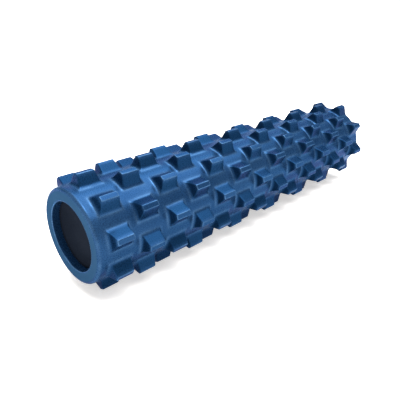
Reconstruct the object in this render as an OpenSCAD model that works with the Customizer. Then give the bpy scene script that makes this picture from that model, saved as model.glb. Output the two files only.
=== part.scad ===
// Textured massage roller: a moulded foam sleeve with staggered rings of knobs,
// and a firm foam core that fills the sleeve's bore.
// Lengths are in millimetres. The roller lies along X and rests on the plane z = 0.

/* [Roller] */
// length of the sleeve from end face to end face
roller_length = 559; // [300:1:900]
// twice the distance from the roller's axis to a knob's crest
outer_diameter = 138; // [132:1:170]
// diameter of the sleeve's bore where it is free, at its two ends
bore_diameter = 81; // [50:1:84]
// how much the core, which is pressed in, widens the bore on each side
core_press = 0.5; // [0.3:0.1:1]
// depth of the recess between an end face and the core
core_recess = 10; // [3:0.5:30]
// rounding of the sleeve's outer shoulder at each end
shoulder_round = 4; // [1:0.5:4]
// rounding of the bore's rim at each end
rim_round = 1.2; // [0.5:0.1:2]
// bevel around each end face of the core
core_bevel = 1; // [0.5:0.1:2]

/* [Knob layout] */
// number of knobs round one ring
knobs_per_ring = 9; // [6:1:10]
// distance between the centres of neighbouring rings
ring_pitch = 39.6; // [36:0.1:60]
// distance from the near end face to the centre of the first ring
near_margin = 27; // [17:0.5:40]
// least distance from the centre of the last ring to the far end face, where the length was cut off
far_margin = 17; // [17:0.5:40]

/* [Knob shape] */
// height of a crest above the sleeve's round surface
knob_height = 13.2; // [6:0.1:14]
// length of a knob's foot along the roller
foot_length = 24; // [20:0.5:25]
// width of a knob's foot round the roller
foot_width = 24; // [16:0.5:25]
// length of a knob's crest along the roller
crest_length = 19; // [12:0.5:19]
// width of a knob's flat crest round the roller
crest_width = 6; // [4:0.5:8]
// height of the sloping band that blends a knob's foot into the sleeve
foot_blend = 1.5; // [0.5:0.1:1.8]
// size of the bevel around a knob's crest
crest_bevel = 0.8; // [0.3:0.1:1.2]

/* [Hidden] */
$fn = 96;
crest_radius = outer_diameter / 2;
body_radius = crest_radius - knob_height;
bore_radius = bore_diameter / 2;
core_radius = bore_radius + core_press;
half_length = roller_length / 2;
core_length = roller_length - 2 * core_recess;
ring_count = 1 + floor((roller_length - near_margin - far_margin) / ring_pitch + 0.001);
knob_angle = 360 / knobs_per_ring;
// how far each ring is sunk into the sleeve's wall
sink = 1;
// how far a ring's bevel runs on above its crests
overrun = 1;

sleeve_colour = [0.12, 0.29, 0.52];
core_colour = [0.06, 0.06, 0.07];

// sideways run of a knob's side for each millimetre of height
function side_run(foot, crest) = (foot - crest) / knob_height;

// half width and height of the four corners up one side of a knob
function side_corners(foot, crest, run) = [
    [foot + foot_blend + (1 + run) * sink, -sink],
    [foot - run * foot_blend, foot_blend],
    [crest + run * crest_bevel, knob_height - crest_bevel],
    [crest - crest_bevel, knob_height]
];

// distance from the roller's axis plane to a corner of a knob seen along the roller
function corner_level(c) = c[1] > knob_height / 2
    ? body_radius + c[1]
    : sqrt(body_radius * body_radius - c[0] * c[0]) + c[1];

function turned(p, a) = [p[0] * cos(a) - p[1] * sin(a), p[0] * sin(a) + p[1] * cos(a)];

round_run = side_run(foot_width / 2, crest_width / 2);
round_corners = side_corners(foot_width / 2, crest_width / 2, round_run);
along_run = side_run(foot_length / 2, crest_length / 2);
along_corners = side_corners(foot_length / 2, crest_length / 2, along_run);

// outline of one knob seen along the roller, from its right foot over the crest to its left foot
knob_outline = concat(
    [for (c = round_corners) [c[0], corner_level(c)]],
    [for (i = [len(round_corners) - 1 : -1 : 0]) [-round_corners[i][0], corner_level(round_corners[i])]]
);

// turn everything drawn about the Z axis so that it lies along X at the roller's height
module along_roller() {
    translate([0, 0, crest_radius])
        rotate([90, 0, 90])
            children();
}

// what a round takes off a square corner, with the corner at the origin and the foam to the lower left
module corner_cut(size) {
    difference() {
        translate([-size, -size])
            square([2 * size, 2 * size]);
        translate([-size, -size])
            circle(r = size);
        translate([-3 * size, -3 * size])
            square([2 * size, 4 * size]);
        translate([-3 * size, -3 * size])
            square([4 * size, 2 * size]);
    }
}

// half section of the round tube under the knobs, widened where it grips the core
module tube_section() {
    difference() {
        translate([bore_radius, -half_length])
            square([body_radius - bore_radius, roller_length]);
        translate([bore_radius - core_press, -core_length / 2])
            square([2 * core_press, core_length]);
        translate([body_radius, half_length])
            corner_cut(shoulder_round);
        translate([body_radius, -half_length])
            rotate(-90)
                corner_cut(shoulder_round);
        translate([bore_radius, half_length])
            rotate(90)
                corner_cut(rim_round);
        translate([bore_radius, -half_length])
            rotate(180)
                corner_cut(rim_round);
    }
}

// outline of a whole ring of knobs seen along the roller
module ring_outline() {
    polygon([
        for (k = [0 : knobs_per_ring - 1])
            for (p = knob_outline)
                turned(p, k * knob_angle)
    ]);
}

// half section that gives every knob of a ring its two sloping ends
module ring_section() {
    side = [for (c = along_corners) [body_radius + c[1], c[0]]];
    low = [body_radius - 4 * sink, side[0][1]];
    top = [crest_radius + overrun, side[3][1] - (1 + along_run) * overrun];
    right = concat([low], side, [top]);
    left = [for (i = [len(right) - 1 : -1 : 0]) [right[i][0], -right[i][1]]];
    polygon(concat(right, left));
}

module knob_ring(turn) {
    intersection() {
        linear_extrude(height = 2 * foot_length, center = true)
            rotate(turn)
                ring_outline();
        rotate_extrude()
            ring_section();
    }
}

// the moulded sleeve: a round tube with rings of knobs, every second ring turned by half a knob
module textured_sleeve() {
    color(sleeve_colour)
        along_roller()
            union() {
                rotate_extrude()
                    tube_section();
                for (k = [0 : ring_count - 1])
                    translate([0, 0, near_margin + k * ring_pitch - half_length])
                        knob_ring((k % 2) * knob_angle / 2);
            }
}

// the firm core that fills the bore and stops short of both end faces
module foam_core() {
    color(core_colour)
        along_roller()
            rotate_extrude()
                polygon([
                    [0, -core_length / 2],
                    [core_radius - core_bevel, -core_length / 2],
                    [core_radius, core_bevel - core_length / 2],
                    [core_radius, core_length / 2 - core_bevel],
                    [core_radius - core_bevel, core_length / 2],
                    [0, core_length / 2]
                ]);
}

textured_sleeve();
foam_core();
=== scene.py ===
"""Textured foam roller: a moulded foam sleeve with staggered knobs over a recessed foam core."""

import math
import random

import bmesh
import bpy
from mathutils import Matrix, Vector


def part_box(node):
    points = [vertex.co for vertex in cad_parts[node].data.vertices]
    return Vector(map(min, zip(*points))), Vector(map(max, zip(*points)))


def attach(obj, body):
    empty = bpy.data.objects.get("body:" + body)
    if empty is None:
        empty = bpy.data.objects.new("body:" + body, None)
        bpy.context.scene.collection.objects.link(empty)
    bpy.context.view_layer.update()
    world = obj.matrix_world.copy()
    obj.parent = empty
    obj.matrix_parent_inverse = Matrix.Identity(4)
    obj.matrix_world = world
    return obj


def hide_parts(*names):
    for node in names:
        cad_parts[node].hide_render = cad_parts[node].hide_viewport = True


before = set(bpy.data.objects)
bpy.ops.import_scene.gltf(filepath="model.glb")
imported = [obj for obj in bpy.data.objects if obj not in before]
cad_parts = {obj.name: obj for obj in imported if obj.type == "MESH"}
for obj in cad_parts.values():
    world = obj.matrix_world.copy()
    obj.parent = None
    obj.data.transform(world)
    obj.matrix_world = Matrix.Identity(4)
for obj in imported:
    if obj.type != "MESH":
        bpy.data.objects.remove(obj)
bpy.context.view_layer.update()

# --- sizes in metres, read from the CAD nodes or repeated from the CAD source -------------------
MM = 0.001
SLEEVE_LOW, SLEEVE_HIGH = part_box("textured_sleeve")
CORE_LOW, CORE_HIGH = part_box("foam_core")
NEAR_X, FAR_X = SLEEVE_LOW.x, SLEEVE_HIGH.x
CREST_R = (SLEEVE_HIGH.z - SLEEVE_LOW.z) / 2
AXIS_Z = (SLEEVE_HIGH.z + SLEEVE_LOW.z) / 2
KNOB_H = 13.2 * MM
BODY_R = CREST_R - KNOB_H
BORE_R = 40.5 * MM
CORE_R = (CORE_HIGH.z - CORE_LOW.z) / 2
KNOBS_PER_RING = 9
RING_PITCH = 39.6 * MM
NEAR_MARGIN = 27 * MM
RING_COUNT = 14
LAST_RING_X = NEAR_X + NEAR_MARGIN + (RING_COUNT - 1) * RING_PITCH
SHOULDER_R = 4 * MM
RIM_R = 1.2 * MM
FACE_CROWN = 0.3 * MM      # how much the middle of an end face stands out beyond its two edges
SEAT_EDGE = 0.3 * MM       # a last strip of the free bore, which keeps its edge at the core crisp

# --- knob shape: half lengths run along the roller, half widths round it ------------------------
# these knobs are rounder than the CAD's plain ones, and stay inside the CAD model's box
FOOT_HALF_LENGTH = 12.5 * MM
FOOT_HALF_WIDTH = 11.6 * MM
CREST_HALF_LENGTH = 10.6 * MM
CREST_HALF_WIDTH = 3.0 * MM
END_FILLET = 4.6 * MM      # blend from the sleeve up into a knob's end face
FLANK_FILLET = 5.5 * MM    # blend from the sleeve up into a knob's flank
CREST_ROUND = 1.15 * MM
FOOT_CORNER = 2.6 * MM
CREST_CORNER = 0.9 * MM
CORNER_FADE = 0.4          # below 1, a knob's corners tighten quickly as it rises from its foot
FILLET_TURNS = (0, 20, 38, 56, 74)    # degrees up the fillet of an end face
SIDE_SHARES = (0.42, 0.7)             # heights of the loops above them, as shares of the knob's
CROWN_TURNS = (62, 45, 28, 13, 0)     # degrees over the round edge of a crest
FILLET_PAINTED_LIGHT_AND_SHADE = (0.1, 0.4, 0.15, -0.6, -1.0)  # painted light on a fillet's loops: above 0 a painted highlight near its foot, below 0 painted shade higher up
SIDE_PAINTED_SHADE = (-1.0, -1.0)                    # painted shade on a knob's sides
CROWN_PAINTED_HIGHLIGHT = (0.1, 0.7, 0.9, 0.5, 0.15)     # painted highlight over a crest's round edge
SHOULDER_PAINTED_HIGHLIGHT = 0.35                        # the most painted highlight on the rounding of each shoulder
RIM_PAINTED_HIGHLIGHT = 1.0                              # painted highlight on the rounding of the bore's rim
EDGE_GAP = 0.3 * MM                   # least room between a foot and the edge of its cell
LENGTH_STEPS = 12    # mesh steps along a knob's cell
WIDTH_STEPS = 10     # mesh steps round it, an even number so that staggered rings meet
CORNER_STEPS = 3     # mesh steps that each side of a loop gives to one corner
SHOULDER_STEPS = 7   # mesh steps over the rounding of a shoulder
FACE_STEPS = 8       # mesh steps across an end face, an even number so that one lies on the crown
RIM_STEPS = 4        # mesh steps over the rounding of the bore's rim
WALL_STEPS = 3       # mesh steps down the free bore
WELD_GAP = 0.02 * MM   # points nearer to each other than this are joined
SKIN_SLOT, CUT_SLOT = 0, 1   # the sleeve's materials: moulded skin, and the cut end faces
LEAN = 0.15 * MM     # the most that a crest is off its place along the roller


def cell_grid():
    """Every grid point of a cell, as (i, j) steps."""
    return [(i, j) for i in range(LENGTH_STEPS + 1) for j in range(WIDTH_STEPS + 1)]


def rim_steps():
    """The grid points on a cell's edge, in order round it."""
    n, m = LENGTH_STEPS, WIDTH_STEPS
    return ([(i, 0) for i in range(n)] + [(n, j) for j in range(m)]
            + [(i, m) for i in range(n, 0, -1)] + [(0, j) for j in range(m, 0, -1)])


def side_place(step, steps, half, corner):
    """Where a point on one side of a rounded rectangle lies: (along the side, in from it)."""
    k = CORNER_STEPS
    for flip, s in ((-1, step), (1, steps - step)):
        if s < k:
            turn = math.radians(45 + 45 * s / k)
            return flip * (half - corner + corner * math.cos(turn)), corner * (1 - math.sin(turn))
    share = (step - k) / (steps - 2 * k)
    return (2 * share - 1) * (half - corner), 0.0


def loop_points(half_length, half_width, corner):
    """A rounded rectangle with one point for each step round a cell's edge."""
    points = []
    for i, j in rim_steps():
        if j in (0, WIDTH_STEPS) and 0 < i < LENGTH_STEPS:
            u, inset = side_place(i, LENGTH_STEPS, half_length, corner)
            v = (half_width - inset) * (-1 if j == 0 else 1)
        elif i in (0, LENGTH_STEPS) and 0 < j < WIDTH_STEPS:
            v, inset = side_place(j, WIDTH_STEPS, half_width, corner)
            u = (half_length - inset) * (-1 if i == 0 else 1)
        else:
            inset = corner * (1 - math.cos(math.radians(45)))
            u = (half_length - inset) * (-1 if i == 0 else 1)
            v = (half_width - inset) * (-1 if j == 0 else 1)
        points.append((u, v))
    return points


def side_reach(height, crest, foot, fillet):
    """How far a knob's side stands out at one height.

    The side is a slope with a fillet at its foot and a round edge at its top.
    """
    slope = math.atan2(KNOB_H, foot - crest)
    if height < fillet * (1 - math.cos(slope)):
        turn = math.acos(1 - height / fillet)
        return foot + fillet * (math.tan(slope / 2) - math.sin(turn))
    drop = KNOB_H - height
    if drop < CREST_ROUND * (1 - math.cos(slope)):
        turn = math.acos(1 - drop / CREST_ROUND)
        return crest - CREST_ROUND * (math.tan(slope / 2) - math.sin(turn))
    return foot - height / math.tan(slope)


def knob_loops():
    """The loops up a knob, from foot to crest.

    Each is (half length, half width, corner radius, height, painted light: above 0 a painted
    highlight, below 0 painted shade).
    """
    heights = [END_FILLET * (1 - math.cos(math.radians(turn))) for turn in FILLET_TURNS]
    heights += [KNOB_H * share for share in SIDE_SHARES]
    heights += [KNOB_H - CREST_ROUND * (1 - math.cos(math.radians(turn))) for turn in CROWN_TURNS]
    wears = FILLET_PAINTED_LIGHT_AND_SHADE + SIDE_PAINTED_SHADE + CROWN_PAINTED_HIGHLIGHT
    loops = []
    for height, wear in zip(heights, wears):
        share = (height / KNOB_H) ** CORNER_FADE
        loops.append((side_reach(height, CREST_HALF_LENGTH, FOOT_HALF_LENGTH, END_FILLET),
                      side_reach(height, CREST_HALF_WIDTH, FOOT_HALF_WIDTH, FLANK_FILLET),
                      FOOT_CORNER + (CREST_CORNER - FOOT_CORNER) * share, height, wear))
    return loops


class Skin:
    """Collects points on the roller, placed by distance along it, angle and radius, and faces."""

    def __init__(self):
        self.points, self.wear, self.faces, self.slots = [], [], [], []

    # each point also keeps its painted light: above 0 a painted highlight, below 0 painted shade
    def add(self, x, angle, radius, wear=0.0):
        self.points.append((x, -radius * math.sin(angle), AXIS_Z + radius * math.cos(angle)))
        self.wear.append(wear)
        return len(self.points) - 1

    def face(self, corners, slot=SKIN_SLOT):
        self.faces.append(tuple(corners))
        self.slots.append(slot)

    def bridge(self, a, b, slot=SKIN_SLOT):
        """Quads between two closed loops of the same length."""
        n = len(a)
        for k in range(n):
            self.face((a[k], a[(k + 1) % n], b[(k + 1) % n], b[k]), slot)


def add_knob(skin, x, angle, reach_back, reach_on):
    """One cell of a ring: the patch of round tube about a knob, and the knob."""
    half_angle = math.pi / KNOBS_PER_RING
    n, m = LENGTH_STEPS, WIDTH_STEPS
    wobble = random.Random(round(x * 1e5) * 31 + round(angle * 1e3))
    lean = wobble.uniform(-LEAN, LEAN)
    edge = []
    for i, j in rim_steps():
        s, t = 2 * i / n - 1, 2 * j / m - 1
        reach = reach_back if s < 0 else reach_on
        edge.append((s * reach, t * half_angle * BODY_R))
    rows = []
    for length, width, corner, height, wear in knob_loops():
        points = loop_points(length, width, corner)
        rows.append(([(min(u, reach_on - EDGE_GAP), v) for u, v in points], height, wear))
    foot = rows[0][0]
    middle = [((a[0] + b[0]) / 2, (a[1] + b[1]) / 2) for a, b in zip(edge, foot)]
    rows = [(edge, 0.0, 0.0), (middle, 0.0, 0.0)] + rows
    rings = []
    for points, height, wear in rows:
        radius = BODY_R + height
        lift = lean * height / KNOB_H
        rings.append([skin.add(x + u + lift, angle + v / radius, radius, wear) for u, v in points])
    for a, b in zip(rings, rings[1:]):
        skin.bridge(a, b)
    top = dict(zip(rim_steps(), rings[-1]))
    points = dict(zip(rim_steps(), rows[-1][0]))
    radius = BODY_R + KNOB_H
    for i, j in cell_grid():
        if (i, j) not in top:
            u = points[i, 0][0] + (points[i, m][0] - points[i, 0][0]) * j / m
            v = points[0, j][1] + (points[n, j][1] - points[0, j][1]) * i / n
            top[i, j] = skin.add(x + u + lean, angle + v / radius, radius)
    for i in range(n):
        for j in range(m):
            skin.face((top[i, j], top[i + 1, j], top[i + 1, j + 1], top[i, j + 1]))


def end_profile(sign, end_x, first_x):
    """The steps over one end of the sleeve, from the last ring's cells in to the core's face.

    Each is (x, radius, slot, painted highlight on the shoulder and rim roundings).
    """
    core_x = CORE_LOW.x if sign < 0 else CORE_HIGH.x
    inward = -sign
    rows = []
    start = end_x + inward * SHOULDER_R
    if abs(start - first_x) > MM:   # the cells at the far end reach the shoulder by themselves
        rows.append(((first_x + start) / 2, BODY_R, SKIN_SLOT, 0.0))
        rows.append((start, BODY_R, SKIN_SLOT, 0.0))
    for k in range(1, SHOULDER_STEPS + 1):
        turn = math.radians(90 * k / SHOULDER_STEPS)
        rows.append((start - inward * (SHOULDER_R - FACE_CROWN) * math.sin(turn),
                     BODY_R - SHOULDER_R * (1 - math.cos(turn)),
                     SKIN_SLOT, SHOULDER_PAINTED_HIGHLIGHT * math.sin(2 * turn)))
    face_out, face_in = BODY_R - SHOULDER_R, BORE_R + RIM_R
    for k in range(1, FACE_STEPS + 1):
        dip = FACE_CROWN * (2 * k / FACE_STEPS - 1) ** 2
        radius = face_out + (face_in - face_out) * k / FACE_STEPS
        rows.append((end_x + inward * dip, radius, CUT_SLOT, 0.0))
    for k in range(1, RIM_STEPS + 1):
        turn = math.radians(90 * k / RIM_STEPS)
        rows.append((end_x + inward * (FACE_CROWN + RIM_R * (1 - math.cos(turn))),
                     face_in - RIM_R * math.sin(turn), SKIN_SLOT, RIM_PAINTED_HIGHLIGHT * math.sin(2 * turn)))
    wall_start, wall_end = FACE_CROWN + RIM_R, abs(core_x - end_x) - SEAT_EDGE
    for k in range(1, WALL_STEPS + 1):
        depth = wall_start + (wall_end - wall_start) * k / WALL_STEPS
        rows.append((end_x + inward * depth, BORE_R, SKIN_SLOT, 0.0))
    return rows + [(core_x, BORE_R, SKIN_SLOT, 0.0), (core_x, CORE_R, SKIN_SLOT, 0.0)]


def sleeve_mesh():
    """The rings of knobs, the two ends and the bore, which weld() joins into one closed skin."""
    skin = Skin()
    step = 2 * math.pi / KNOBS_PER_RING
    half = RING_PITCH / 2
    last_half = FAR_X - SHOULDER_R - LAST_RING_X
    for ring in range(RING_COUNT):
        x = NEAR_X + NEAR_MARGIN + ring * RING_PITCH
        reach_on = last_half if ring == RING_COUNT - 1 else half
        for k in range(KNOBS_PER_RING):
            add_knob(skin, x, (k + 0.5 * (ring % 2)) * step, half, reach_on)
    around = KNOBS_PER_RING * WIDTH_STEPS
    angles = [2 * math.pi * k / around for k in range(around)]
    near_cells = NEAR_X + NEAR_MARGIN - half
    far_cells = LAST_RING_X + last_half
    inner = []
    for sign, end_x, first_x in ((-1, NEAR_X, near_cells), (1, FAR_X, far_cells)):
        last = [skin.add(first_x, a, BODY_R) for a in angles]
        for x, radius, slot, wear in end_profile(sign, end_x, first_x):
            row = [skin.add(x, a, radius, wear) for a in angles]
            skin.bridge(last, row, slot)
            last = row
        inner.append(last)
    skin.bridge(inner[0], inner[1])
    mesh = bpy.data.meshes.new("textured_foam_sleeve")
    mesh.from_pydata(skin.points, [], skin.faces)
    mesh.update()
    mesh.polygons.foreach_set("material_index", skin.slots)
    # the painted highlights and painted shade are stored as a point attribute for the skin
    # material
    mesh.attributes.new("wear", "FLOAT", "POINT").data.foreach_set("value", skin.wear)
    return mesh


def weld(mesh):
    """Joins the points that neighbouring cells share, and turns every face outwards."""
    bm = bmesh.new()
    bm.from_mesh(mesh)
    bmesh.ops.remove_doubles(bm, verts=bm.verts, dist=WELD_GAP)
    bmesh.ops.recalc_face_normals(bm, faces=bm.faces)
    bm.to_mesh(mesh)
    bm.free()


def new_piece(name, mesh):
    """An object in the scene with smooth faces."""
    piece = bpy.data.objects.new(name, mesh)
    bpy.context.scene.collection.objects.link(piece)
    for p in mesh.polygons:
        p.use_smooth = True
    return piece


# --- materials ----------------------------------------------------------------------------------
CLOUD_SCALE = 14           # noise scales: broad, cloudy tones
SPECK_SCALE = 900          # the foam's grain
BLOTCH_SCALE = 60          # patches in the painted highlights along edges
GRAIN_DEPTH = 0.08 * MM


def material(name):
    """A new node material: (material, nodes, links, its shader)."""
    mat = bpy.data.materials.new(name)
    mat.use_nodes = True
    nodes = mat.node_tree.nodes
    return mat, nodes, mat.node_tree.links, nodes["Principled BSDF"]


def add_noise(nodes, links, place, scale, detail=2.0, rough=0.5):
    """A noise value over the surface; a larger scale makes finer noise."""
    node = nodes.new("ShaderNodeTexNoise")
    node.inputs["Scale"].default_value = scale
    node.inputs["Detail"].default_value = detail
    node.inputs["Roughness"].default_value = rough
    links.new(place, node.inputs["Vector"])
    return node.outputs["Fac"]


def add_ramp(nodes, links, source, low, high, dark, light):
    """Maps a value's range from low to high onto dark to light, held at both ends."""
    node = nodes.new("ShaderNodeMapRange")
    node.inputs["From Min"].default_value = low
    node.inputs["From Max"].default_value = high
    node.inputs["To Min"].default_value = dark
    node.inputs["To Max"].default_value = light
    links.new(source, node.inputs["Value"])
    return node.outputs["Result"]


def add_mix(nodes, links, factor, a, b):
    """A colour from a to b; each is a colour or another node's output."""
    node = nodes.new("ShaderNodeMix")
    node.data_type = "RGBA"
    links.new(factor, node.inputs["Factor"])
    for socket, value in ((node.inputs[6], a), (node.inputs[7], b)):
        if isinstance(value, tuple):
            socket.default_value = (*value, 1)
        else:
            links.new(value, socket)
    return node.outputs[2]


def foam_material(name, base, deep, pale, roughness, grain, specular,
                  sheen=0.0, tint=(1, 1, 1), painted_highlight_tone=None, painted_shade_tone=None):
    """Fine-grained foam with cloudy tones.

    Where the points' painted light value is above 0 a pale painted highlight is mixed in, in
    patches; below 0 a dark painted shade.
    """
    mat, nodes, links, shader = material(name)
    place = nodes.new("ShaderNodeTexCoord").outputs["Object"]
    cloud = add_noise(nodes, links, place, CLOUD_SCALE, 3)
    speck = add_noise(nodes, links, place, SPECK_SCALE, 2, 0.6)
    tone = add_mix(nodes, links, add_ramp(nodes, links, cloud, 0.35, 0.65, 0, 1), base, deep)
    tone = add_mix(nodes, links, add_ramp(nodes, links, speck, 0.5, 0.8, 0, 0.35), tone, pale)
    # painted highlights on edges and painted shade on the knobs' sides, read from the mesh's point
    # attribute
    if painted_highlight_tone:
        wear = nodes.new("ShaderNodeAttribute")
        wear.attribute_name = "wear"
        below = add_ramp(nodes, links, wear.outputs["Fac"], 0, -1, 0, 1)
        tone = add_mix(nodes, links, below, tone, painted_shade_tone)
        patchy = nodes.new("ShaderNodeMath")
        patchy.operation = "MULTIPLY"
        links.new(wear.outputs["Fac"], patchy.inputs[0])
        blotch = add_noise(nodes, links, place, BLOTCH_SCALE)
        links.new(add_ramp(nodes, links, blotch, 0.35, 0.6, 0.35, 1), patchy.inputs[1])
        tone = add_mix(nodes, links, patchy.outputs[0], tone, painted_highlight_tone)
    links.new(tone, shader.inputs["Base Color"])
    rough = add_ramp(nodes, links, speck, 0.3, 0.7, roughness - 0.05, roughness + 0.07)
    links.new(rough, shader.inputs["Roughness"])
    shader.inputs["Specular IOR Level"].default_value = specular
    shader.inputs["Metallic"].default_value = sheen
    shader.inputs["Specular Tint"].default_value = (*tint, 1)
    bump = nodes.new("ShaderNodeBump")
    bump.inputs["Strength"].default_value = grain
    bump.inputs["Distance"].default_value = GRAIN_DEPTH
    links.new(speck, bump.inputs["Height"])
    links.new(bump.outputs["Normal"], shader.inputs["Normal"])
    return mat


# --- the two pieces -----------------------------------------------------------------------------
mesh = sleeve_mesh()
weld(mesh)
sleeve = new_piece("textured_foam_sleeve", mesh)
sleeve.data.materials.append(foam_material(
    "blue_foam_skin",
    base=(0.0140, 0.0455, 0.112), deep=(0.008, 0.032, 0.088), pale=(0.020, 0.064, 0.152),
    roughness=0.27, grain=0.12, specular=0.03, sheen=0.48, tint=(0.24, 0.42, 0.68),
    # a pale painted highlight tone for the edges and a dark painted shade tone for the knobs'
    # sides
    painted_highlight_tone=(0.060, 0.135, 0.255), painted_shade_tone=(0.0050, 0.025, 0.068)))
sleeve.data.materials.append(foam_material(
    "blue_foam_cut_end",
    base=(0.026, 0.072, 0.146), deep=(0.021, 0.062, 0.128), pale=(0.036, 0.091, 0.176),
    roughness=0.6, grain=0.4, specular=0.0))
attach(sleeve, "root")
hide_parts("textured_sleeve")

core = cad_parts["foam_core"]
core.data.materials.clear()
core.data.materials.append(foam_material(
    "dark_core_foam",
    base=(0.013, 0.017, 0.026), deep=(0.008, 0.011, 0.018), pale=(0.026, 0.031, 0.042),
    roughness=0.6, grain=0.6, specular=0.0))


# --- stage, light and camera --------------------------------------------------------------------
FLOOR_TONE = (0.80, 0.78, 0.76)
FLOOR_GLOW_TONE = (1.0, 0.97, 0.93)   # the floor gives off some light, which keeps its shadow pale
FLOOR_GLOW = 0.55
FLOOR_HALF = 40.0                     # metres from the middle of the floor to its edge
HORIZON_LEVEL = 1.1                   # the world's strength at floor level
AIR_LEVEL = 0.08                      # and higher up
HORIZON_TOP, AIR_START = 0.10, 0.30   # sines of the elevations between which it changes
CAMERA_YAW, CAMERA_PITCH, CAMERA_ROLL = 0.7888, 0.4119, -0.0163   # radians
CAMERA_LENS, CAMERA_SENSOR = 36.98, 36   # millimetres, the second being the sensor's width
# metres from the near end of the roller's axis: away along the axis, to the side, and up
CAMERA_BACK, CAMERA_ASIDE, CAMERA_RISE = 0.1755, 0.3766, 0.2123


def stage_floor():
    """A wide, plain, pale floor."""
    half = FLOOR_HALF
    points = [(-half, -half, 0), (half, -half, 0), (half, half, 0), (-half, half, 0)]
    mesh = bpy.data.meshes.new("studio_floor")
    mesh.from_pydata(points, [], [(0, 1, 2, 3)])
    floor = new_piece("studio_floor", mesh)
    mat, nodes, links, shader = material("studio_white")
    shader.inputs["Base Color"].default_value = (*FLOOR_TONE, 1)
    shader.inputs["Roughness"].default_value = 0.9
    shader.inputs["Specular IOR Level"].default_value = 0.0
    shader.inputs["Emission Color"].default_value = (*FLOOR_GLOW_TONE, 1)
    shader.inputs["Emission Strength"].default_value = FLOOR_GLOW
    floor.data.materials.append(mat)


def sun_light(name, towards, spread, strength):
    """A soft light from far away; spread is how many degrees wide its source looks."""
    data = bpy.data.lights.new(name, "SUN")
    data.angle = math.radians(spread)
    data.energy = strength
    lamp = bpy.data.objects.new(name, data)
    lamp.location = Vector(towards)
    lamp.rotation_euler = Vector(towards).to_track_quat("Z", "Y").to_euler()
    bpy.context.scene.collection.objects.link(lamp)


def studio_air():
    """Dim light from all round, with a white band at floor level that the floor runs out into."""
    world = bpy.data.worlds.new("studio_air")
    world.use_nodes = True
    bpy.context.scene.world = world
    nodes, links = world.node_tree.nodes, world.node_tree.links
    place = nodes.new("ShaderNodeTexCoord").outputs["Generated"]
    split = nodes.new("ShaderNodeSeparateXYZ")
    links.new(place, split.inputs[0])
    level = add_ramp(nodes, links, split.outputs["Z"],
                     HORIZON_TOP, AIR_START, HORIZON_LEVEL, AIR_LEVEL)
    links.new(level, nodes["Background"].inputs["Strength"])
    nodes["Background"].inputs["Color"].default_value = (1, 1, 1, 1)


stage_floor()
sun_light("key_panel", (0.27, -0.06, 0.96), spread=68, strength=6.2)
sun_light("overhead_panel", (0, 0, 1), spread=130, strength=1.2)
sun_light("overhead_strip", (0.04, -0.22, 0.97), spread=16, strength=1.2)
sun_light("back_panel", (0.46, 0.60, 0.62), spread=60, strength=1.2)
sun_light("front_panel", (0.45, -0.88, 0.08), spread=50, strength=0.1)
sun_light("left_panel", (-0.80, -0.10, 0.50), spread=60, strength=0.3)
studio_air()


def aim_camera():
    """The camera stands off the near end, above the roller, and looks along and across it."""
    yaw, pitch, roll = CAMERA_YAW, CAMERA_PITCH, CAMERA_ROLL
    forward = Vector((math.cos(yaw) * math.cos(pitch),
                      math.sin(yaw) * math.cos(pitch), -math.sin(pitch)))
    right = Vector((math.sin(yaw), -math.cos(yaw), 0))
    up = right.cross(forward)
    right, up = (math.cos(roll) * right + math.sin(roll) * up,
                 math.cos(roll) * up - math.sin(roll) * right)
    data = bpy.data.cameras.new("camera")
    data.sensor_width = CAMERA_SENSOR
    data.lens = CAMERA_LENS
    data.clip_start = 0.01
    camera = bpy.data.objects.new("camera", data)
    turn = Matrix((right, up, -forward)).transposed()
    place = Matrix.Translation((NEAR_X - CAMERA_BACK, -CAMERA_ASIDE, AXIS_Z + CAMERA_RISE))
    camera.matrix_world = place @ turn.to_4x4()
    bpy.context.scene.collection.objects.link(camera)
    bpy.context.scene.camera = camera


aim_camera()
bpy.context.scene.view_settings.view_transform = "Standard"
